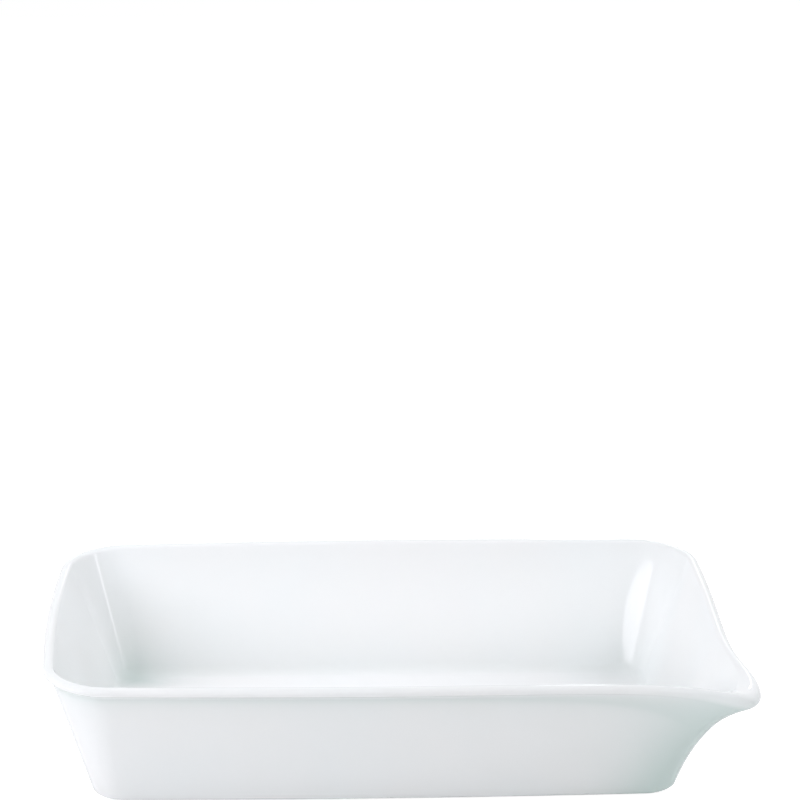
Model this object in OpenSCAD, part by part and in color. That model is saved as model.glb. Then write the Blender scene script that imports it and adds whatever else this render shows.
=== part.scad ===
// White porcelain baking dish: a flared rectangular tray with a rolled rim, one
// corner drawn out into a pouring lip, and a low bare foot ring to stand on.
// Lengths are in millimetres. Z is up, the foot stands on Z = 0, the long sides
// run along X and the pouring lip points to +X and -Y.

/* [Dish] */
// Length of the rim along X, without the pouring lip
rim_length = 320; // [280:1:360]
// Width of the rim along Y, without the pouring lip
rim_width = 187; // [160:1:210]
// Height from the table to the top of the rim
dish_height = 66.5; // [56:0.5:80]
// Plan radius of the rim's corners
rim_corner_radius = 27; // [20:0.5:32]
// How far each short side bows out at its middle
short_side_bow = 5; // [1:0.5:8]
// How far each long side bows out at its middle
long_side_bow = 4.5; // [1:0.5:7]

/* [Wall] */
// How far the outer wall stands in from the rim where it meets the table
base_inset = 19.8; // [14:0.2:24]
// Plan radius of the outer wall's corners at the base
base_corner_radius = 13; // [11:0.5:18]
// Radius that rounds the outer wall into the underside
base_edge_radius = 2.5; // [2:0.25:4]
// Thickness of the floor
floor_thickness = 4; // [3:0.25:6]
// Thickness of the wall where it meets the floor, measured level
wall_thickness = 6.5; // [4.5:0.25:8]
// Plan radius of the inner corners at the floor
floor_corner_radius = 8; // [6:0.5:14]
// Radius of the fillet between the inner wall and the floor
floor_fillet_radius = 6; // [4:0.25:8]

/* [Rim] */
// Thickness of the rolled rim
rim_thickness = 4.5; // [3.8:0.1:5.6]
// How far the rolled rim stands out past the wall under it
rim_overhang = 2.3; // [1.6:0.1:3]
// Height below the top at which the overhang is measured
overhang_depth = 2.7; // [2:0.1:4]
// Length of the soft hollow that blends the roll into the wall
hollow_length = 1.6; // [1:0.1:3]

/* [Pouring lip] */
// How far the corner is drawn out
lip_reach = 26.5; // [20:0.5:32]
// Direction of the lip, in degrees from the long side's end towards the front
lip_direction = 49; // [42:1:56]
// How far that direction swings back to the dish's end along the short side
lip_side_turn = 40; // [20:1:45]
// How far that direction swings back to the dish's end along the long side
lip_front_turn = 22; // [0:1:40]
// Distance along the short side at which the lip is drawn out half as far
lip_side_spread = 16; // [12:0.5:20]
// Distance along the long side at which the lip is drawn out half as far
lip_front_spread = 22; // [16:0.5:26]
// Plan radius of the lip's corner before it is drawn out
lip_corner_radius = 5.5; // [4.5:0.5:10]
// Extra thickness of the rolled rim at the lip's end
lip_extra_thickness = 7; // [2:0.25:8]
// How late the wall swings out to the lip: a higher power keeps the base straighter
lip_rise_power = 2.4; // [1.8:0.1:2.8]
// How far the roll wraps round under the lip, in degrees
lip_wrap = 35; // [28:1:50]
// Length of the hollow that blends the roll into the wall under the lip
lip_hollow_length = 10; // [6:0.5:12]
// Distance along the rim at which the section is half way between lip and rim
lip_blend_length = 30; // [22:1:40]

/* [Foot and glaze] */
// Height of the foot ring under the base
foot_height = 1.2; // [0.8:0.1:2]
// Width of the foot ring's flat standing face
foot_width = 3; // [2:0.25:5]
// Distance from the rounded base edge to the foot ring
foot_setback = 2.5; // [1.5:0.25:5]
// Thickness of the fired glaze
glaze_thickness = 0.3; // [0.2:0.05:0.4]
// Bare strip on each side of the foot ring where the glaze is wiped back
bare_margin = 0.6; // [0.4:0.1:1.2]

/* [Hidden] */

porcelain_white = [0.93, 0.93, 0.91];
glaze_white = [0.97, 0.98, 0.98];
right_angle = 90;
full_turn = 360;

// Levels above the table
base_level = foot_height;
glazed_base_level = base_level - glaze_thickness;
floor_level = base_level + floor_thickness;

// Half sizes of the rim outline before its sides bow out
half_length = rim_length / 2 - short_side_bow;
half_width = rim_width / 2 - long_side_bow;

// Leaning lines of the section, as inset from the rim outline per unit of height
overhang_level = dish_height - overhang_depth;
outer_slope = (base_inset - rim_overhang) / overhang_level;
outer_lean = atan(outer_slope);
function outer_inset(level) = base_inset - outer_slope * level;
floor_inset = outer_inset(floor_level) + wall_thickness;
roll_radius = rim_thickness / 2;
inner_lean = atan((floor_inset - rim_thickness) / (dish_height - roll_radius - floor_level));

// Where the base edge and the floor fillet leave their straight neighbours
base_edge_run = base_edge_radius * tan((right_angle - outer_lean) / 2);
base_edge_inset = outer_inset(glazed_base_level) + base_edge_run;
floor_fillet_run = floor_fillet_radius * tan((right_angle - inner_lean) / 2);
floor_edge_inset = floor_inset + floor_fillet_run;

// Foot ring, and the lines at which the glaze stops on each side of it
foot_outer_inset = base_edge_inset + foot_setback;
foot_inner_inset = foot_outer_inset + foot_width;
glaze_end_inset = foot_outer_inset - bare_margin;
underside_glaze_inset = foot_inner_inset + bare_margin;

// Steps around the outline and up the section
lip_arc_steps = 10;
arc_steps = 8;
lip_side_steps = 20;
lip_front_steps = 26;
back_steps = 10;
left_steps = 8;
spacing_power = 1.8;
edge_steps = 4;
fillet_steps = 3;
hollow_steps = 3;
under_roll_steps = 2;
outer_wall_shares = [0.3, 0.55, 0.78];
inner_wall_shares = [0.16, 0.36, 0.58, 0.8];
rim_wrap = 60;
roll_angles = [30, 60, 90, 130];

// A station of the outline: the direction it faces, and which corner centre it
// hangs on, from -1 to 1 along X and Y. Stations run round from the lip's end.
lip_angle = -45;
function graded(step, steps) = pow(step / steps, spacing_power);
stations = [
    for (step = [0 : lip_arc_steps / 2 - 1])
        [lip_angle - lip_angle * step * 2 / lip_arc_steps, 1, -1],
    for (step = [0 : lip_side_steps - 1]) [0, 1, 2 * graded(step, lip_side_steps) - 1],
    for (step = [0 : arc_steps - 1]) [right_angle * step / arc_steps, 1, 1],
    for (step = [0 : back_steps - 1]) [right_angle, 1 - 2 * step / back_steps, 1],
    for (step = [0 : arc_steps - 1]) [right_angle * (1 + step / arc_steps), -1, 1],
    for (step = [0 : left_steps - 1]) [right_angle * 2, -1, 1 - 2 * step / left_steps],
    for (step = [0 : arc_steps - 1]) [right_angle * (2 + step / arc_steps), -1, -1],
    for (step = [0 : lip_front_steps - 1])
        [right_angle * 3, 1 - 2 * graded(lip_front_steps - step, lip_front_steps), -1],
    for (step = [0 : lip_arc_steps / 2 - 1])
        [right_angle * 3 - lip_angle * step * 2 / lip_arc_steps, 1, -1]
];
station_count = len(stations);

// Distance of a station from the lip's end, along the rim before it is drawn out
function mix(from, to, share) = from + (to - from) * share;
function arc_length(radius, angle) = radius * angle * PI / (2 * right_angle);
function turn_from_lip(angle) = min(angle - lip_angle, full_turn - angle + lip_angle);
function lip_distance(station) =
    let (
        turn = turn_from_lip(station[0]),
        lip_turn = min(turn, -lip_angle),
        side_radius = mix(lip_corner_radius, rim_corner_radius, 1 / 2)
    )
    arc_length(lip_corner_radius, lip_turn)
    + arc_length(rim_corner_radius, turn - lip_turn)
    + (1 - station[1]) * (half_length - side_radius)
    + (1 + station[2]) * (half_width - side_radius);

// How much of the lip's reach and of its section a station takes, and how much
// of the lip's own corner radius
function bell(distance, spread) = 1 / (1 + pow(distance / spread, 2));
function on_short_side(station) = station[0] - lip_angle < full_turn / 2;
lip_shares = [
    for (station = stations)
        bell(lip_distance(station), on_short_side(station) ? lip_side_spread : lip_front_spread)
];
section_shares = [for (station = stations) bell(lip_distance(station), lip_blend_length)];
function corner_share(station) =
    station[0] <= 0 ? (1 - station[2]) / 2
    : station[0] >= 3 * right_angle ? (1 + station[1]) / 2
    : 0;

// The way a station is drawn out, and how much of that reaches each level
lip_ways = [
    for (index = [0 : len(stations) - 1])
        let (
            turn = on_short_side(stations[index]) ? lip_side_turn : lip_front_turn,
            direction = lip_direction - turn * (1 - lip_shares[index])
        )
        [cos(direction), -sin(direction)]
];
function rise_share(level) =
    pow(max(level - base_level, 0) / (dish_height - base_level), lip_rise_power);

// Plan radius and bow of the outline at an inset, on the outer or the inner face
function rim_radius(station) =
    mix(rim_corner_radius, lip_corner_radius, corner_share(station));
function outer_radius(station, inset) =
    mix(rim_radius(station), base_corner_radius, min(inset / base_inset, 1));
function inner_radius(station, inset) =
    mix(rim_radius(station), floor_corner_radius, min(inset / floor_edge_inset, 1));
function bow_share(inset) = 1 - inset / (2 * base_inset);

// The outline point of a station, and the same point drawn out towards the lip
function outline_point(station, inset, radius) =
    let (
        reach_x = half_length - inset,
        reach_y = half_width - inset,
        x = station[1] * (reach_x - radius) + radius * cos(station[0]),
        y = station[2] * (reach_y - radius) + radius * sin(station[0]),
        bow_x = short_side_bow * bow_share(inset) * (1 - pow(y / reach_y, 2)),
        bow_y = long_side_bow * bow_share(inset) * (1 - pow(x / reach_x, 2))
    )
    [x + bow_x * pow(x / reach_x, 3), y + bow_y * pow(y / reach_y, 3)];
function surface_point(index, inset, level, radius) =
    let (
        plan = outline_point(stations[index], inset, radius)
            + lip_ways[index] * lip_reach * lip_shares[index] * rise_share(level)
    )
    [plan[0], plan[1], level];

// Section points as [inset, level], from the underside over the rim to the floor
function roll_point(radius, angle) =
    [radius - radius * cos(angle), dish_height - radius + radius * sin(angle)];
function edge_point(inset, level, radius, angle) =
    [inset - radius * cos(angle), level + radius - radius * sin(angle)];
function arc_between(from, bend, to, share) =
    mix(mix(from, bend, share), mix(bend, to, share), share);
function wall_section(radius, wrap, hollow_run) =
    let (
        edge_top = edge_point(base_edge_inset, glazed_base_level, base_edge_radius, outer_lean),
        roll_end = roll_point(radius, -wrap),
        roll_way = [sin(wrap), -cos(wrap)],
        meet_run = (outer_inset(roll_end[1]) - roll_end[0])
            / (roll_way[0] + outer_slope * roll_way[1]),
        meet = roll_end + roll_way * meet_run,
        wall_top = [outer_inset(meet[1] - hollow_run), meet[1] - hollow_run]
    )
    [
        for (share = outer_wall_shares) mix(edge_top, wall_top, share),
        for (step = [0 : hollow_steps]) arc_between(wall_top, meet, roll_end, step / hollow_steps),
        for (step = [1 : under_roll_steps])
            roll_point(radius, wrap * (step / under_roll_steps - 1))
    ];
function outer_section(radius, section_share) =
    let (
        rim_wall = wall_section(radius, rim_wrap, hollow_length),
        lip_wall = wall_section(radius, lip_wrap, lip_hollow_length)
    )
    [
        [glaze_end_inset, glazed_base_level],
        for (step = [0 : edge_steps])
            edge_point(base_edge_inset, glazed_base_level, base_edge_radius,
                mix(right_angle, outer_lean, step / edge_steps)),
        for (point = [0 : len(rim_wall) - 1]) mix(rim_wall[point], lip_wall[point], section_share),
        for (angle = roll_angles) roll_point(radius, angle)
    ];
function inner_section(radius) =
    let (
        wall_top = roll_point(radius, 2 * right_angle - inner_lean),
        wall_foot = edge_point(floor_edge_inset, floor_level, floor_fillet_radius, inner_lean)
    )
    [
        wall_top,
        for (share = inner_wall_shares) mix(wall_top, wall_foot, share),
        for (step = [0 : fillet_steps])
            edge_point(floor_edge_inset, floor_level, floor_fillet_radius,
                mix(inner_lean, right_angle, step / fillet_steps))
    ];

// The glazed surface as rings of points, one ring for each section point
function station_radius(index) =
    roll_radius + lip_extra_thickness / 2 * pow(lip_shares[index], 2);
outer_sections = [
    for (index = [0 : station_count - 1])
        outer_section(station_radius(index), section_shares[index])
];
inner_sections = [for (index = [0 : station_count - 1]) inner_section(station_radius(index))];
outer_ring_count = len(outer_sections[0]);
inner_ring_count = len(inner_sections[0]);
ring_count = outer_ring_count + inner_ring_count;
glazed_rings = [
    for (ring = [0 : outer_ring_count - 1]) [
        for (index = [0 : station_count - 1])
            let (spot = outer_sections[index][ring])
            surface_point(index, spot[0], spot[1], outer_radius(stations[index], spot[0]))
    ],
    for (ring = [0 : inner_ring_count - 1]) [
        for (index = [0 : station_count - 1])
            let (spot = inner_sections[index][ring])
            surface_point(index, spot[0], spot[1], inner_radius(stations[index], spot[0]))
    ]
];

// The porcelain under the glaze: every point moved in by the glaze's thickness
function inward(ring, index) =
    let (
        ahead = glazed_rings[ring][(index + 1) % station_count],
        behind = glazed_rings[ring][(index + station_count - 1) % station_count],
        next = glazed_rings[min(ring + 1, ring_count - 1)][index],
        last = glazed_rings[max(ring - 1, 0)][index],
        normal = cross(next - last, ahead - behind)
    )
    normal / norm(normal);
body_rings = [
    for (ring = [0 : ring_count - 1]) [
        for (index = [0 : station_count - 1])
            glazed_rings[ring][index] + inward(ring, index) * glaze_thickness
    ]
];

// Triangles between neighbouring rings, and fans that close a ring to one point
function band_faces(first, rings) = [
    for (ring = [0 : rings - 2], index = [0 : station_count - 1])
        let (
            low = first + ring * station_count + index,
            low_next = first + ring * station_count + (index + 1) % station_count,
            high = low + station_count,
            high_next = low_next + station_count
        )
        each [[low, high, high_next], [low, high_next, low_next]]
];
function fan_faces(first, middle) = [
    for (index = [0 : station_count - 1])
        [middle, first + index, first + (index + 1) % station_count]
];
function turned(faces) = [for (face = faces) [face[0], face[2], face[1]]];

module porcelain_shell() {
    last_ring = (ring_count - 1) * station_count;
    base_middle = ring_count * station_count;
    polyhedron(
        points = [
            for (ring = body_rings) each ring,
            [0, 0, base_level],
            [0, 0, floor_level - glaze_thickness]
        ],
        faces = concat(
            band_faces(0, ring_count),
            fan_faces(0, base_middle),
            turned(fan_faces(last_ring, base_middle + 1))
        )
    );
}

module foot_outline(inset) {
    polygon([
        for (station = stations) outline_point(station, inset, outer_radius(station, inset))
    ]);
}

module foot_ring() {
    linear_extrude(height = base_level + glaze_thickness)
        difference() {
            foot_outline(foot_outer_inset);
            foot_outline(foot_inner_inset);
        }
}

module porcelain_body() {
    color(porcelain_white)
        union() {
            porcelain_shell();
            foot_ring();
        }
}

module glaze_coat() {
    skin_points = ring_count * station_count;
    last_ring = (ring_count - 1) * station_count;
    glaze_middle = skin_points * 2;
    end_band = [
        for (index = [0 : station_count - 1])
            let (next = (index + 1) % station_count)
            each [
                [index, next, skin_points + next],
                [index, skin_points + next, skin_points + index]
            ]
    ];
    color(glaze_white)
        polyhedron(
            points = [
                for (ring = glazed_rings) each ring,
                for (ring = body_rings) each ring,
                [0, 0, floor_level],
                [0, 0, floor_level - glaze_thickness]
            ],
            faces = concat(
                band_faces(0, ring_count),
                turned(fan_faces(last_ring, glaze_middle)),
                turned(band_faces(skin_points, ring_count)),
                fan_faces(skin_points + last_ring, glaze_middle + 1),
                end_band
            )
        );
}

module underside_glaze() {
    color(glaze_white)
        translate([0, 0, glazed_base_level])
            linear_extrude(height = glaze_thickness)
                foot_outline(underside_glaze_inset);
}

porcelain_body();
glaze_coat();
underside_glaze();
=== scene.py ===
import math

import bpy
from mathutils import Matrix, Vector


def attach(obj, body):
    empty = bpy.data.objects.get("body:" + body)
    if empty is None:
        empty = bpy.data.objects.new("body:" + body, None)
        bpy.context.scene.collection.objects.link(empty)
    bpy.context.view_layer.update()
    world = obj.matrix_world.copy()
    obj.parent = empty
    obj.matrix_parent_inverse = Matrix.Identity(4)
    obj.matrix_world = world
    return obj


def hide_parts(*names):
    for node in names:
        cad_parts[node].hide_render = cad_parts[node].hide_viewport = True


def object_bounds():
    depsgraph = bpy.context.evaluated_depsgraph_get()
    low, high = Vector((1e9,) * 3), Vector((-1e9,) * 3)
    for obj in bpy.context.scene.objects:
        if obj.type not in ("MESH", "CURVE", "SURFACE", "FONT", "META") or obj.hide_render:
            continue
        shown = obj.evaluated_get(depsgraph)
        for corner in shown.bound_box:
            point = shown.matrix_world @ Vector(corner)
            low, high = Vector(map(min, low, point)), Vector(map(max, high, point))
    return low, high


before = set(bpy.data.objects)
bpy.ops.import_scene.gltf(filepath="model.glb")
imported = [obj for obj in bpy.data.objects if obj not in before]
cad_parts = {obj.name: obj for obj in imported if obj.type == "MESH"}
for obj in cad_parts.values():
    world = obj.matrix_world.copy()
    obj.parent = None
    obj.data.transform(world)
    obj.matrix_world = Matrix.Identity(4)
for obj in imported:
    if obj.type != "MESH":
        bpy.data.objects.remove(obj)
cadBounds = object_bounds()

millimetre = 0.001
rootBody = "root"
# the mesh attribute that holds each point's share of pooled glaze and painted shade
poolAndShadeAttribute = "glazePoolAndShade"
halfTurn = math.pi
quarterTurn = math.pi / 2
eighthTurn = math.pi / 4


# the camera stands where a perspective fit of the photo's outlines puts it
cameraSetup = {
    "place": (-0.02195, -1.54044, 0.70983),
    "turn": 1.1559,     # degrees to the right of +Y
    "tilt": 19.2163,    # degrees below level
    "roll": -0.2145,    # degrees anticlockwise
    "lens": 156.662,    # mm on a 36 mm sensor
    "sensor": 36,
}


def makeCamera():
    data = bpy.data.cameras.new("photoCamera")
    data.lens = cameraSetup["lens"]
    data.sensor_width = cameraSetup["sensor"]
    camera = bpy.data.objects.new("photoCamera", data)
    camera.location = cameraSetup["place"]
    aim = (Matrix.Rotation(-math.radians(cameraSetup["turn"]), 3, "Z")
           @ Matrix.Rotation(quarterTurn - math.radians(cameraSetup["tilt"]), 3, "X")
           @ Matrix.Rotation(math.radians(cameraSetup["roll"]), 3, "Z"))
    camera.rotation_euler = aim.to_euler()
    bpy.context.scene.collection.objects.link(camera)
    bpy.context.scene.camera = camera


makeCamera()
print("camera placed")


# the dish's own sizes in mm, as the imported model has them
dishSize = {
    "rimLength": 320, "rimWidth": 187, "height": 66.5,
    "rimCorner": 27, "shortBow": 5, "longBow": 4.5,
    "baseInset": 19.8, "baseCorner": 13, "baseEdge": 2.5,
    "floorThickness": 4, "wallThickness": 6.5, "floorCorner": 8, "floorFillet": 6,
    "rimThickness": 4.5, "rimOverhang": 2.3, "overhangDepth": 2.7,
    "rimWrap": 60, "rimHollow": 1.6,
    "lipReach": 26.5, "lipDirection": 49, "lipSideTurn": 40, "lipFrontTurn": 22,
    "lipSideSpread": 16, "lipFrontSpread": 22, "lipCorner": 5.5, "lipExtra": 7, "lipPower": 2.4,
    "lipWrap": 35, "lipHollow": 10, "lipBlend": 30,
    "footHeight": 1.2, "footWidth": 3, "footSetback": 2.5, "footRounding": 0.3,
    "glaze": 0.3, "bareMargin": 0.6,
    "unevenness": 0.3, "unevennessWidth": 70,     # how far the hand-finished walls wander
}

# how much pooled glaze and painted shade darken each place, from 0 to 1: pooled glaze and a
# painted shadow in the hollow under the rim, painted shade darker towards the top of the outer
# wall and on the rim's top, pooled glaze and painted shade low in the inner corners, and painted
# shade under the lip; lengths in mm say how fast it thins out
poolAndShadeShares = {
    "rimHollow": 0.5, "underRim": 0.3, "underRimLength": 3,
    "upperWall": 0.15, "upperWallLength": 20, "rimTop": 0.12,
    "innerFoot": 0.1, "innerFootPower": 4, "lipRoll": 0.4,
    # the corner shares are pooled glaze and painted shade low in the inner corners, leaning to
    # more painted shade at the plain end
    "corner": 0.75, "cornerLean": 0.65, "cornerPower": 5,     # lean: more at the plain end
}

# steps of the fine mesh, round the outline and up the section
meshSteps = {
    "lipArc": 28, "arc": 26, "side": 70, "front": 82, "back": 36, "left": 26, "spacing": 1.8,
    "edge": 8, "wall": 26, "hollow": 9, "underRoll": 7, "roll": 20, "innerWall": 20,
    "fillet": 10, "floor": 7, "footCorner": 4,
    "innerStart": 50,     # degrees round the roll where the inner face begins
}

size = dishSize
baseLevel = size["footHeight"]
glazedBase = baseLevel - size["glaze"]
floorLevel = baseLevel + size["floorThickness"]
halfLength = size["rimLength"] / 2 - size["shortBow"]
halfWidth = size["rimWidth"] / 2 - size["longBow"]
outerSlope = (size["baseInset"] - size["rimOverhang"]) / (size["height"] - size["overhangDepth"])
outerLean = math.atan(outerSlope)
floorInset = size["baseInset"] - outerSlope * floorLevel + size["wallThickness"]
innerLean = math.atan((floorInset - size["rimThickness"])
                      / (size["height"] - size["rimThickness"] / 2 - floorLevel))
baseEdgeInset = (size["baseInset"] - outerSlope * glazedBase
                 + size["baseEdge"] * math.tan((quarterTurn - outerLean) / 2))
floorEdgeInset = floorInset + size["floorFillet"] * math.tan((quarterTurn - innerLean) / 2)
footOuter = baseEdgeInset + size["footSetback"]
footInner = footOuter + size["footWidth"]
glazeEnd = footOuter - size["bareMargin"]
undersideGlaze = footInner + size["bareMargin"]


def shares(count):
    return [(step + 1) / count for step in range(count)]


def mix(start, end, share):
    return start + (end - start) * share


def smooth(share):
    held = min(max(share, 0.0), 1.0)
    return held * held * (3 - 2 * held)


# a section point is (inset, level) and what each gains for a millimetre of rim roll radius
def flatPoint(inset, level):
    return Vector((inset, level, 0, 0))


def rollPoint(angle, depth):
    return Vector((depth * math.cos(angle), size["height"] - depth * math.sin(angle),
                   1 - math.cos(angle), math.sin(angle) - 1))


def arcPoint(inset, level, radius, angle, growth):
    reach = radius + growth
    return flatPoint(inset - reach * math.cos(angle), level + radius - reach * math.sin(angle))


def outerWallAt(point):
    return Vector((size["baseInset"] - outerSlope * point[1], point[1],
                   -outerSlope * point[3], point[3]))


# each ring carries its share of pooled glaze and painted shade, and its share of painted shade
# under the lip
def ring(point, lipPoint=None, shrink=1.0, inner=0.0, poolAndShade=0.0, lipShade=0.0):
    return {"point": point, "lipPoint": lipPoint or point, "shrink": shrink, "inner": inner,
            "poolAndShade": poolAndShade, "lipShade": lipShade}


# the outer wall, the hollow above it and the roll's underside, for one wrap of the roll
def wallPoints(depth, wrap, hollow):
    steps = meshSteps
    wallIn = Vector((math.cos(outerLean), math.sin(outerLean), 0, 0)) * depth
    edgeTop = arcPoint(baseEdgeInset, glazedBase, size["baseEdge"], outerLean, 0)
    start = -math.radians(wrap)
    rollStart = rollPoint(start, 0)
    rollIn = Vector((math.cos(start), -math.sin(start), 0, 0)) * depth
    downX, downZ = -math.sin(start), -math.cos(start)
    wallLevel = outerWallAt(rollStart)
    closing = downX + outerSlope * downZ
    runFixed = (wallLevel[0] - rollStart[0]) / closing
    runGrown = (wallLevel[2] - rollStart[2]) / closing
    meet = rollStart + Vector((downX * runFixed, downZ * runFixed,
                               downX * runGrown, downZ * runGrown))
    wallTop = outerWallAt(meet - flatPoint(0, hollow))
    points = [mix(edgeTop, wallTop, share) + wallIn for share in shares(steps["wall"])]
    for share in shares(steps["hollow"]):
        bend = mix(mix(wallTop, meet, share), mix(meet, rollStart, share), share)
        points.append(bend + mix(wallIn, rollIn, share))
    return points + [rollPoint(mix(start, 0, share), depth)
                     for share in shares(steps["underRoll"])]


# shares of pooled glaze and painted shade up the outer wall, through the hollow and round the
# roll's underside: a painted shadow under the rim, painted shade darker towards the top of the
# wall, pooled glaze and painted shade in the hollow, and none round the roll's underside
def outerPoolAndShade():
    steps, poolsAndShades = meshSteps, poolAndShadeShares
    found = []
    for share in shares(steps["wall"]):
        down = (1 - share) * size["height"]
        found.append(poolsAndShades["underRim"] * math.exp(-down / poolsAndShades["underRimLength"])
                     + poolsAndShades["upperWall"] * math.exp(-down / poolsAndShades["upperWallLength"]))
    for share in shares(steps["hollow"]):
        found.append(poolsAndShades["rimHollow"] * math.cos(share * quarterTurn))
    return found + [0] * steps["underRoll"]


# the section from the foot over the rim to the middle of the floor, depth under the glaze
def dishSection(depth):
    steps, poolsAndShades = meshSteps, poolAndShadeShares
    rings = [ring(flatPoint(glazeEnd, glazedBase + depth))]
    # the base edge takes the full painted shade under the lip
    for share in [0] + shares(steps["edge"]):
        rings.append(ring(arcPoint(baseEdgeInset, glazedBase, size["baseEdge"],
                                   mix(quarterTurn, outerLean, share), -depth), lipShade=1))
    # painted shade under the lip covers the outer wall and hollow, then thins round the roll's
    # underside
    lipShades = [1] * (steps["wall"] + steps["hollow"])
    lipShades += [mix(1, poolsAndShades["lipRoll"], share) for share in shares(steps["underRoll"])]
    points = wallPoints(depth, size["rimWrap"], size["rimHollow"])
    lipPoints = wallPoints(depth, size["lipWrap"], size["lipHollow"])
    for point, lipPoint, poolAndShade, lipShade in zip(points, lipPoints, outerPoolAndShade(), lipShades):
        rings.append(ring(point, lipPoint, poolAndShade=poolAndShade, lipShade=lipShade))
    innerStart = math.radians(steps["innerStart"])
    rollEnd = halfTurn - innerLean
    # the roll's top takes a little painted shade, and the painted shade under the lip fades out
    # towards the top
    for share in shares(steps["roll"]):
        angle = rollEnd * share
        rings.append(ring(rollPoint(angle, depth),
                          inner=smooth((angle - innerStart) / (rollEnd - innerStart)),
                          poolAndShade=poolsAndShades["rimTop"] * math.sin(share * halfTurn) ** 2,
                          lipShade=poolsAndShades["lipRoll"] * max(0, 1 - angle / quarterTurn)))
    wallOut = Vector((math.cos(innerLean), math.sin(innerLean), 0, 0)) * depth
    rollFoot = rollPoint(rollEnd, 0)
    wallFoot = arcPoint(floorEdgeInset, floorLevel, size["floorFillet"], innerLean, 0)
    # pooled glaze and painted shade gather low on the inner wall and in its fillet
    for share in shares(steps["innerWall"]):
        rings.append(ring(mix(rollFoot, wallFoot, share) - wallOut, inner=1,
                          poolAndShade=poolsAndShades["innerFoot"] * share ** poolsAndShades["innerFootPower"]))
    for share in shares(steps["fillet"]):
        rings.append(ring(arcPoint(floorEdgeInset, floorLevel, size["floorFillet"],
                                   mix(innerLean, quarterTurn, share), depth),
                          inner=1,
                          poolAndShade=poolsAndShades["innerFoot"] * (1 + math.sin(share * halfTurn) - share)))
    for share in shares(steps["floor"]):
        rings.append(ring(flatPoint(floorEdgeInset, floorLevel - depth),
                          shrink=1 - share, inner=1))
    return rings


def flatRings(inset, level, outwards):
    steps = shares(meshSteps["floor"])[:-1]
    rings = [ring(flatPoint(inset, level), shrink=0)]
    rings += [ring(flatPoint(inset, level), shrink=share) for share in steps]
    rings.append(ring(flatPoint(inset, level)))
    return rings if outwards else rings[::-1]


def roundedCorner(inset, level, radius, fromAngle, toAngle):
    return [ring(flatPoint(inset - radius * math.cos(mix(fromAngle, toAngle, share)),
                           level + radius * math.sin(mix(fromAngle, toAngle, share))))
            for share in [0] + shares(meshSteps["footCorner"])]


# stations round the outline: the way each faces, and the corner centre it hangs on
def outlineStations():
    steps = meshSteps
    half = steps["lipArc"] // 2

    def graded(step, count):
        return (step / count) ** steps["spacing"]

    stations = [(eighthTurn * (step / half - 1), 1, -1) for step in range(half)]
    stations += [(0, 1, 2 * graded(step, steps["side"]) - 1) for step in range(steps["side"])]
    stations += [(quarterTurn * step / steps["arc"], 1, 1) for step in range(steps["arc"])]
    stations += [(quarterTurn, 1 - 2 * step / steps["back"], 1) for step in range(steps["back"])]
    stations += [(quarterTurn * (1 + step / steps["arc"]), -1, 1) for step in range(steps["arc"])]
    stations += [(halfTurn, -1, 1 - 2 * step / steps["left"]) for step in range(steps["left"])]
    stations += [(quarterTurn * (2 + step / steps["arc"]), -1, -1)
                 for step in range(steps["arc"])]
    stations += [(quarterTurn * 3, 1 - 2 * graded(steps["front"] - step, steps["front"]), -1)
                 for step in range(steps["front"])]
    stations += [(quarterTurn * 3 + eighthTurn * step / half, 1, -1) for step in range(half)]
    return stations


# corner centre and lip corner share; section points and facing; how they grow; place, the painted
# shade under the lip, and pooled glaze with painted shade
netLabels = ("corner", "rimBase", "rimGrown", "lipBase", "lipGrown", "ringShape")


# how much of the lip's own corner radius a station takes
def lipCornerShare(way, cornerX, cornerY):
    if way <= 0:
        return (1 - cornerY) / 2
    return (1 + cornerX) / 2 if way >= 3 * quarterTurn else 0


# a closed net of rings with a pole at each end, carrying what the node tree places it by
def ringNet(name, rings):
    stations = outlineStations()
    count = len(stations)
    middle = len(rings) - 2
    faces = [(0, 1 + (index + 1) % count, 1 + index) for index in range(count)]
    for row in range(middle - 1):
        low, high = 1 + row * count, 1 + (row + 1) * count
        for index in range(count):
            after = (index + 1) % count
            faces.append((low + index, low + after, high + after, high + index))
    last, top = 1 + (middle - 1) * count, 1 + middle * count
    faces += [(last + index, last + (index + 1) % count, top) for index in range(count)]
    mesh = bpy.data.meshes.new(name)
    mesh.from_pydata([(0, 0, 0)] * (top + 1), [], faces)
    values = {label: [] for label in netLabels}
    for row, entry in enumerate(rings):
        at = stations if 0 < row < len(rings) - 1 else [(0, 0, 0)]
        point, lipPoint = entry["point"], entry["lipPoint"]
        for way, cornerX, cornerY in at:
            values["corner"] += [cornerX, cornerY, lipCornerShare(way, cornerX, cornerY)]
            values["rimBase"] += [point[0], point[1], way]
            values["rimGrown"] += [point[2], point[3], 0]
            values["lipBase"] += [lipPoint[0], lipPoint[1], entry["lipShade"]]
            values["lipGrown"] += [lipPoint[2], lipPoint[3], 0]
            values["ringShape"] += [entry["shrink"], entry["inner"], entry["poolAndShade"]]
    for label in netLabels:
        layer = mesh.attributes.new(label, "FLOAT_VECTOR", "POINT")
        layer.data.foreach_set("vector", values[label])
    return mesh


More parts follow.
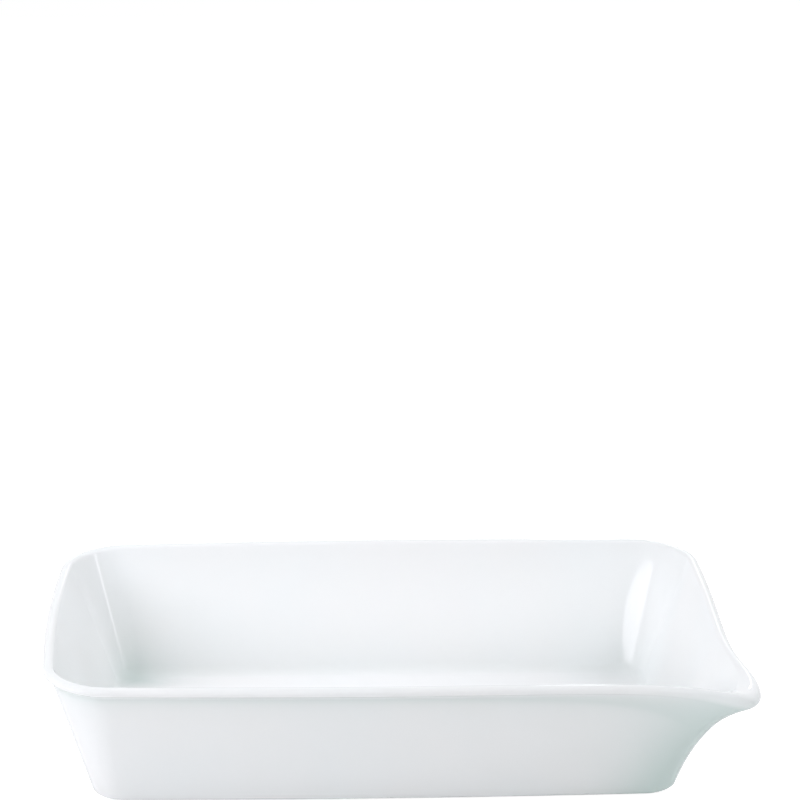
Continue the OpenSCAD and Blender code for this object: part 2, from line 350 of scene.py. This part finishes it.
# the node tree's named inputs and their values
treeInputs = {
    "Half length": halfLength, "Half width": halfWidth, "Height": size["height"],
    "Rim corner": size["rimCorner"], "Base corner": size["baseCorner"],
    "Floor corner": size["floorCorner"], "Base inset": size["baseInset"],
    "Floor edge inset": floorEdgeInset, "Short bow": size["shortBow"], "Long bow": size["longBow"],
    "Base level": baseLevel, "Roll radius": size["rimThickness"] / 2,
    "Lip corner": size["lipCorner"], "Lip extra": size["lipExtra"] / 2,
    "Lip reach": size["lipReach"], "Lip power": size["lipPower"],
    "Lip direction": math.radians(size["lipDirection"]),
    "Lip side turn": math.radians(size["lipSideTurn"]),
    "Lip front turn": math.radians(size["lipFrontTurn"]),
    "Lip side spread": size["lipSideSpread"], "Lip front spread": size["lipFrontSpread"],
    "Lip blend": size["lipBlend"], "Unevenness": size["unevenness"],
    "Unevenness width": size["unevennessWidth"],
}


def placeDishTree():
    tree = bpy.data.node_groups.new("placeDishRings", "GeometryNodeTree")
    face = tree.interface
    face.new_socket("Geometry", in_out="INPUT", socket_type="NodeSocketGeometry")
    for label in treeInputs:
        face.new_socket(label, in_out="INPUT", socket_type="NodeSocketFloat")
    face.new_socket("Finish", in_out="INPUT", socket_type="NodeSocketMaterial")
    face.new_socket("Geometry", in_out="OUTPUT", socket_type="NodeSocketGeometry")
    given = tree.nodes.new("NodeGroupInput").outputs
    link = tree.links.new

    def feed(socket, value):
        if isinstance(value, bpy.types.NodeSocket):
            link(value, socket)
        else:
            socket.default_value = value

    def calc(operation, *values):
        node = tree.nodes.new("ShaderNodeMath")
        node.operation = operation
        for socket, value in zip(node.inputs, values):
            feed(socket, value)
        return node.outputs[0]

    def plus(first, second):
        return calc("ADD", first, second)

    def less(first, second):
        return calc("SUBTRACT", first, second)

    def over(first, second):
        return calc("DIVIDE", first, second)

    def read(label):
        node = tree.nodes.new("GeometryNodeInputNamedAttribute")
        node.data_type = "FLOAT_VECTOR"
        node.inputs["Name"].default_value = label
        parts = tree.nodes.new("ShaderNodeSeparateXYZ")
        link(node.outputs["Attribute"], parts.inputs[0])
        return parts.outputs

    def vector(x, y, z):
        node = tree.nodes.new("ShaderNodeCombineXYZ")
        for socket, value in zip(node.inputs, (x, y, z)):
            feed(socket, value)
        return node.outputs[0]

    def scaled(value, factor):
        node = tree.nodes.new("ShaderNodeVectorMath")
        node.operation = "SCALE"
        feed(node.inputs[0], value)
        feed(node.inputs["Scale"], factor)
        return node.outputs[0]

    def mixed(start, end, share):
        return plus(start, calc("MULTIPLY", less(end, start), share))

    def product(*values):
        whole = values[0]
        for value in values[1:]:
            whole = calc("MULTIPLY", whole, value)
        return whole

    def bell(distance, spread):
        share = over(distance, spread)
        return over(1, plus(1, product(share, share)))

    corner, shape = read("corner"), read("ringShape")
    rimBase, rimGrown = read("rimBase"), read("rimGrown")
    lipBase, lipGrown = read("lipBase"), read("lipGrown")
    facing = rimBase[2]

    # distance along the rim from the lip's end, and the shares of the lip taken there
    turned = plus(facing, eighthTurn)
    turn = calc("MINIMUM", turned, less(2 * halfTurn, turned))
    lipTurn = calc("MINIMUM", turn, eighthTurn)
    sideRadius = mixed(given["Lip corner"], given["Rim corner"], 0.5)
    bent = plus(product(lipTurn, given["Lip corner"]),
                product(less(turn, lipTurn), given["Rim corner"]))
    straight = plus(product(less(1, corner[0]), less(given["Half length"], sideRadius)),
                    product(plus(1, corner[1]), less(given["Half width"], sideRadius)))
    along = plus(bent, straight)
    onSide = calc("LESS_THAN", turned, halfTurn)
    lipShare = bell(along, mixed(given["Lip front spread"], given["Lip side spread"], onSide))
    blendShare = bell(along, given["Lip blend"])

    # the section point, with the rim roll swelling towards the lip's end
    roll = plus(given["Roll radius"], product(given["Lip extra"], lipShare, lipShare))
    inset, level = (mixed(plus(rimBase[axis], product(rimGrown[axis], roll)),
                          plus(lipBase[axis], product(lipGrown[axis], roll)), blendShare)
                    for axis in (0, 1))

    # plan radius on the outer and the inner face, then the plan point with its bow
    rimRadius = mixed(given["Rim corner"], given["Lip corner"], corner[2])
    outerRadius = mixed(rimRadius, given["Base corner"],
                        calc("MINIMUM", over(inset, given["Base inset"]), 1))
    innerRadius = mixed(rimRadius, given["Floor corner"],
                        calc("MINIMUM", over(inset, given["Floor edge inset"]), 1))
    radius = mixed(outerRadius, innerRadius, shape[1])
    halfX = less(given["Half length"], inset)
    halfY = less(given["Half width"], inset)
    planX = plus(product(corner[0], less(halfX, radius)),
                 product(radius, calc("COSINE", facing)))
    planY = plus(product(corner[1], less(halfY, radius)),
                 product(radius, calc("SINE", facing)))
    shareX = over(planX, halfX)
    shareY = over(planY, halfY)
    bow = less(1, over(inset, product(given["Base inset"], 2)))
    flatX = less(1, product(shareX, shareX))
    flatY = less(1, product(shareY, shareY))
    planX = plus(planX, product(given["Short bow"], bow, flatY, shareX, shareX, shareX))
    planY = plus(planY, product(given["Long bow"], bow, flatX, shareY, shareY, shareY))

    # the lip draws the point out more, the higher it is
    raised = calc("MAXIMUM", less(level, given["Base level"]), 0)
    rise = calc("POWER", over(raised, less(given["Height"], given["Base level"])),
                given["Lip power"])
    drawn = product(given["Lip reach"], lipShare, rise)
    direction = less(given["Lip direction"],
                     product(mixed(given["Lip front turn"], given["Lip side turn"], onSide),
                             less(1, lipShare)))
    planX = plus(planX, product(drawn, calc("COSINE", direction)))
    planY = less(planY, product(drawn, calc("SINE", direction)))

    # the walls wander inwards a little, less and less towards the foot
    noise = tree.nodes.new("ShaderNodeTexNoise")
    noise.inputs["Detail"].default_value = 0
    link(vector(planX, planY, level), noise.inputs["Vector"])
    link(over(1, given["Unevenness width"]), noise.inputs["Scale"])
    wander = product(over(given["Unevenness"], given["Half length"]), noise.outputs[0],
                     calc("MINIMUM", over(raised, given["Height"]), 1))
    held = product(shape[0], less(1, wander))
    placed = tree.nodes.new("GeometryNodeSetPosition")
    link(given["Geometry"], placed.inputs["Geometry"])
    link(scaled(vector(product(planX, held), product(planY, held), level), millimetre),
         placed.inputs["Position"])

    # where glaze pools and shade is painted: pooled glaze and a painted shadow under the rim,
    # painted shade on the wall and the rim's top, pooled glaze and painted shade low in the inner
    # corners, more painted shade in those at the plain end, and painted shade under the lip
    across = product(shareX, shareY, shape[0], shape[0])
    cornered = calc("POWER", product(across, across), poolAndShadeShares["cornerPower"])
    low = less(1, over(level, given["Height"]))
    endShade = less(poolAndShadeShares["corner"], product(poolAndShadeShares["cornerLean"], shareX))
    poolAndShade = mixed(plus(shape[2], product(endShade, shape[1], cornered, low, low)), lipBase[2],
                 product(blendShare, blendShare))
    pooledAndShaded = tree.nodes.new("GeometryNodeStoreNamedAttribute")
    pooledAndShaded.data_type = "FLOAT"
    pooledAndShaded.domain = "POINT"
    pooledAndShaded.inputs["Name"].default_value = poolAndShadeAttribute
    link(poolAndShade, pooledAndShaded.inputs["Value"])
    link(placed.outputs[0], pooledAndShaded.inputs["Geometry"])

    shade = tree.nodes.new("GeometryNodeSetShadeSmooth")
    whole = tree.nodes.new("GeometryNodeRealizeInstances")
    finish = tree.nodes.new("GeometryNodeSetMaterial")
    link(pooledAndShaded.outputs[0], shade.inputs["Geometry"])
    link(shade.outputs[0], whole.inputs[0])
    link(whole.outputs[0], finish.inputs["Geometry"])
    link(given["Finish"], finish.inputs["Material"])
    link(finish.outputs[0], tree.nodes.new("NodeGroupOutput").inputs[0])
    return tree


def makeDishPiece(name, rings, tree, material):
    piece = bpy.data.objects.new(name, ringNet(name, rings))
    bpy.context.scene.collection.objects.link(piece)
    modifier = piece.modifiers.new("placeDishRings", "NODES")
    modifier.node_group = tree
    for item in tree.interface.items_tree:
        if item.in_out == "INPUT" and item.name in treeInputs:
            modifier[item.identifier] = treeInputs[item.name]
        elif item.in_out == "INPUT" and item.name == "Finish":
            modifier[item.identifier] = material
    drawn = piece.evaluated_get(bpy.context.evaluated_depsgraph_get())
    mesh = bpy.data.meshes.new_from_object(drawn)
    mesh.name = name
    spare = piece.data
    piece.modifiers.clear()
    piece.data = mesh
    bpy.data.meshes.remove(spare)
    for label in netLabels:
        mesh.attributes.remove(mesh.attributes[label])
    return piece


# the fine mesh bulges a hair past the CAD's facets, so each side is drawn in to the CAD's box
def holdInBox(pieces, outermost):
    for axis in (0, 1):
        spots = [vertex.co[axis] for vertex in outermost.data.vertices]
        low = min(1, cadBounds[0][axis] / min(spots))
        high = min(1, cadBounds[1][axis] / max(spots))
        for piece in pieces:
            for vertex in piece.data.vertices:
                vertex.co[axis] *= high if vertex.co[axis] > 0 else low


# glaze and bare porcelain
glazeLook = {
    # the pooled colour is a darker, cooler tint that stands for pooled glaze and for painted shade
    "white": (0.87, 0.9, 0.9), "pooledAndShaded": (0.6, 0.7, 0.67), "warm": (0.885, 0.9, 0.895),
    "cloudScale": 14, "cloudDetail": 3, "cloudRange": (0.35, 0.65),
    "roughness": 0.015, "roughnessVaries": 0.03, "ior": 1.52,
    "glossScale": 40, "glossDetail": 4, "glossRange": (0.3, 0.7),
    "waveScale": 26, "waveDetail": 1, "waveHeight": 0.00005,
    "peelScale": 130, "peelDetail": 2, "peelHeight": 0.00001,
}
bareLook = {
    "pale": (0.83, 0.81, 0.77), "grey": (0.66, 0.63, 0.59),
    "wornScale": 90, "wornDetail": 6, "wornRange": (0.4, 0.75),
    "roughness": 0.72, "wornSmoother": 0.15,
    "grainScale": 2600, "grainDetail": 3, "grainHeight": 0.00003,
}


def newMaterial(name):
    material = bpy.data.materials.new(name)
    material.use_nodes = True
    nodes = material.node_tree.nodes
    return material, nodes, material.node_tree.links.new, nodes["Principled BSDF"]


def noiseOn(nodes, link, scale, detail):
    place = nodes.new("ShaderNodeTexCoord")
    noise = nodes.new("ShaderNodeTexNoise")
    noise.inputs["Scale"].default_value = scale
    noise.inputs["Detail"].default_value = detail
    link(place.outputs["Object"], noise.inputs["Vector"])
    return noise.outputs[0]


def mappedTo(nodes, link, value, low, high, fromRange=(0, 1)):
    node = nodes.new("ShaderNodeMapRange")
    link(value, node.inputs["Value"])
    labels = ("From Min", "From Max", "To Min", "To Max")
    for label, number in zip(labels, (*fromRange, low, high)):
        node.inputs[label].default_value = number
    return node.outputs[0]


def mixColour(nodes, link, share, start, end):
    node = nodes.new("ShaderNodeMix")
    node.data_type = "RGBA"
    link(share, node.inputs["Factor"])
    for label, colour in (("A", start), ("B", end)):
        socket = [entry for entry in node.inputs
                  if entry.name == label and entry.type == "RGBA"][0]
        if isinstance(colour, bpy.types.NodeSocket):
            link(colour, socket)
        else:
            socket.default_value = (*colour, 1)
    return [entry for entry in node.outputs if entry.type == "RGBA"][0]


def bumpChain(nodes, link, layers, shader):
    last = None
    for height, distance in layers:
        bump = nodes.new("ShaderNodeBump")
        bump.inputs["Distance"].default_value = distance
        link(height, bump.inputs["Height"])
        if last is not None:
            link(last, bump.inputs["Normal"])
        last = bump.outputs[0]
    link(last, shader.inputs["Normal"])


def glazeMaterial():
    look = glazeLook
    material, nodes, link, shader = newMaterial("whiteGlaze")
    cloud = mappedTo(nodes, link, noiseOn(nodes, link, look["cloudScale"], look["cloudDetail"]),
                     0, 1, look["cloudRange"])
    body = mixColour(nodes, link, cloud, look["white"], look["warm"])
    # the glaze darkens towards the pooled colour by its share of pooled glaze and painted shade
    poolAndShade = nodes.new("ShaderNodeAttribute")
    poolAndShade.attribute_name = poolAndShadeAttribute
    pooledAndShaded = mappedTo(nodes, link, poolAndShade.outputs["Fac"], 0, 1)
    link(mixColour(nodes, link, pooledAndShaded, body, look["pooledAndShaded"]), shader.inputs["Base Color"])
    gloss = mappedTo(nodes, link, noiseOn(nodes, link, look["glossScale"], look["glossDetail"]),
                     look["roughness"], look["roughness"] + look["roughnessVaries"],
                     look["glossRange"])
    link(gloss, shader.inputs["Roughness"])
    shader.inputs["IOR"].default_value = look["ior"]
    wave = noiseOn(nodes, link, look["waveScale"], look["waveDetail"])
    peel = noiseOn(nodes, link, look["peelScale"], look["peelDetail"])
    bumpChain(nodes, link, ((wave, look["waveHeight"]), (peel, look["peelHeight"])), shader)
    return material


def bareMaterial():
    look = bareLook
    material, nodes, link, shader = newMaterial("barePorcelain")
    worn = mappedTo(nodes, link, noiseOn(nodes, link, look["wornScale"], look["wornDetail"]),
                    0, 1, look["wornRange"])
    link(mixColour(nodes, link, worn, look["pale"], look["grey"]), shader.inputs["Base Color"])
    link(mappedTo(nodes, link, worn, look["roughness"], look["roughness"] - look["wornSmoother"]),
         shader.inputs["Roughness"])
    grain = noiseOn(nodes, link, look["grainScale"], look["grainDetail"])
    bumpChain(nodes, link, ((grain, look["grainHeight"]),), shader)
    return material


glaze = glazeMaterial()
bare = bareMaterial()
print("materials made")


def bodyRings():
    rounding = size["footRounding"]
    rings = flatRings(footInner, baseLevel, True)
    rings += roundedCorner(footInner - rounding, rounding, rounding, halfTurn, 3 * quarterTurn)
    rings += roundedCorner(footOuter + rounding, rounding, rounding, -quarterTurn, 0)
    rings.append(ring(flatPoint(footOuter, baseLevel)))
    return rings + dishSection(size["glaze"])


def glazeRings():
    return dishSection(size["glaze"])[::-1] + dishSection(0)


def undersideRings():
    edge = undersideGlaze + size["glaze"]
    rings = flatRings(edge, glazedBase, True)
    rings += roundedCorner(edge, baseLevel, size["glaze"], -quarterTurn, 0)[1:]
    return rings + flatRings(undersideGlaze, baseLevel, False)[1:]


dishTree = placeDishTree()
porcelainBody = makeDishPiece("porcelainBody", bodyRings(), dishTree, bare)
glazeCoat = makeDishPiece("glazeCoat", glazeRings(), dishTree, glaze)
baseGlaze = makeDishPiece("undersideGlaze", undersideRings(), dishTree, glaze)
dishPieces = (porcelainBody, glazeCoat, baseGlaze)
holdInBox(dishPieces, glazeCoat)
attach(porcelainBody, rootBody)
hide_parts("porcelain_body")
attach(glazeCoat, rootBody)
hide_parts("glaze_coat")
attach(baseGlaze, rootBody)
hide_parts("underside_glaze")
print("dish made,", sum(len(piece.data.polygons) for piece in dishPieces), "faces")


# a pale floor that the camera sees as white, with the dish's shadow kept
stageLook = {
    "floorSide": 6, "floorColour": (0.95, 0.95, 0.95),
    "seenColour": (0.4, 0.4, 0.4), "seenGlow": 0.9,
    "worldFill": (0.128, 0.15, 0.128), "worldSeen": (1, 1, 1),
}


def makeFloor():
    look = stageLook
    side = look["floorSide"]
    mesh = bpy.data.meshes.new("studioFloor")
    mesh.from_pydata([(-side, -side, 0), (side, -side, 0), (side, side, 0), (-side, side, 0)], [],
                     [(0, 1, 2, 3)])
    floor = bpy.data.objects.new("studioFloor", mesh)
    bpy.context.scene.collection.objects.link(floor)
    material, nodes, link, shader = newMaterial("studioFloor")
    shader.inputs["Base Color"].default_value = (*look["floorColour"], 1)
    shader.inputs["Roughness"].default_value = 1
    shader.inputs["Specular IOR Level"].default_value = 0
    seen = nodes.new("ShaderNodeBsdfDiffuse")
    seen.inputs["Color"].default_value = (*look["seenColour"], 1)
    glow = nodes.new("ShaderNodeEmission")
    glow.inputs["Strength"].default_value = look["seenGlow"]
    both = nodes.new("ShaderNodeAddShader")
    link(seen.outputs[0], both.inputs[0])
    link(glow.outputs[0], both.inputs[1])
    path = nodes.new("ShaderNodeLightPath")
    choose = nodes.new("ShaderNodeMixShader")
    link(path.outputs["Is Camera Ray"], choose.inputs[0])
    link(shader.outputs[0], choose.inputs[1])
    link(both.outputs[0], choose.inputs[2])
    link(choose.outputs[0], nodes["Material Output"].inputs["Surface"])
    mesh.materials.append(material)


def makeWorld():
    world = bpy.data.worlds.new("studioWorld")
    bpy.context.scene.world = world
    world.use_nodes = True
    nodes, link = world.node_tree.nodes, world.node_tree.links.new
    path = nodes.new("ShaderNodeLightPath")
    share = path.outputs["Is Camera Ray"]
    for label in ("Is Glossy Ray", "Is Transmission Ray"):
        seen = nodes.new("ShaderNodeMath")
        seen.operation = "MAXIMUM"
        link(share, seen.inputs[0])
        link(path.outputs[label], seen.inputs[1])
        share = seen.outputs[0]
    colour = mixColour(nodes, link, share, stageLook["worldFill"], stageLook["worldSeen"])
    link(colour, nodes["Background"].inputs["Color"])


# each lamp: its direction and distance from what it lights, in degrees and metres, then its
# size and its power in watts; turn is 0 on the camera's side and grows anticlockwise from above
lampColour = (0.976, 0.94, 1)
dishMiddle = (0, 0, 0.03)
rightCorner = (0.13, 0.07, 0.04)
leftCorner = (-0.137, 0.073, 0.04)
lipEnd = (0.166, -0.09, 0.066)
lamps = {
    "leftSoftbox": {"aim": dishMiddle, "turn": -60, "rise": 35, "away": 1.2,
                    "wide": 1, "tall": 0.7, "power": 6.5},
    "rightSoftbox": {"aim": dishMiddle, "turn": 87, "rise": 35, "away": 1.5,
                     "wide": 1.2, "tall": 0.9, "power": 10.6},
    "backSoftbox": {"aim": dishMiddle, "turn": 180, "rise": 14.5, "away": 1.5,
                    "wide": 1.2, "tall": 0.76, "power": 10.4},
    "frontPanel": {"aim": leftCorner, "turn": -27, "rise": 27, "away": 1,
                   "wide": 0.7, "tall": 0.35, "power": 0.63},
    "overheadPanel": {"aim": dishMiddle, "turn": -120, "rise": 65, "away": 0.8,
                      "wide": 0.6, "tall": 0.6, "power": 2.3},
    "lowWindow": {"aim": rightCorner, "turn": -31, "rise": 14.3, "away": 5,
                  "wide": 5.1, "tall": 0.93, "power": 42},
    "sideStrip": {"aim": leftCorner, "turn": 72, "rise": 14, "away": 1.2,
                  "wide": 0.1, "tall": 0.35, "power": 0.3},
    "backStrip": {"aim": lipEnd, "turn": 180, "rise": 24, "away": 1.2,
                  "wide": 0.06, "tall": 0.3, "power": 0.27},
    "lipSpark": {"aim": lipEnd, "turn": 65, "rise": 49, "away": 1.2,
                 "wide": 0.6, "tall": 0.12, "power": 1.06},
}
# the glaze mirrors these; the softboxes and panels light it without an image of their own
mirroredLamps = ("lowWindow", "sideStrip", "backStrip", "lipSpark")


def makeLamps():
    for name, setup in lamps.items():
        data = bpy.data.lights.new(name, "AREA")
        data.shape = "RECTANGLE"
        data.size, data.size_y = setup["wide"], setup["tall"]
        data.energy, data.color = setup["power"], lampColour
        turn, rise = math.radians(setup["turn"]), math.radians(setup["rise"])
        towards = Vector((math.sin(turn) * math.cos(rise), -math.cos(turn) * math.cos(rise),
                          math.sin(rise)))
        lamp = bpy.data.objects.new(name, data)
        lamp.location = Vector(setup["aim"]) + towards * setup["away"]
        lamp.rotation_euler = (-towards).to_track_quat("-Z", "Y").to_euler()
        lamp.visible_camera = False
        lamp.visible_glossy = name in mirroredLamps
        bpy.context.scene.collection.objects.link(lamp)


makeFloor()
makeWorld()
makeLamps()
bpy.context.scene.view_settings.view_transform = "Standard"
print("studio made")
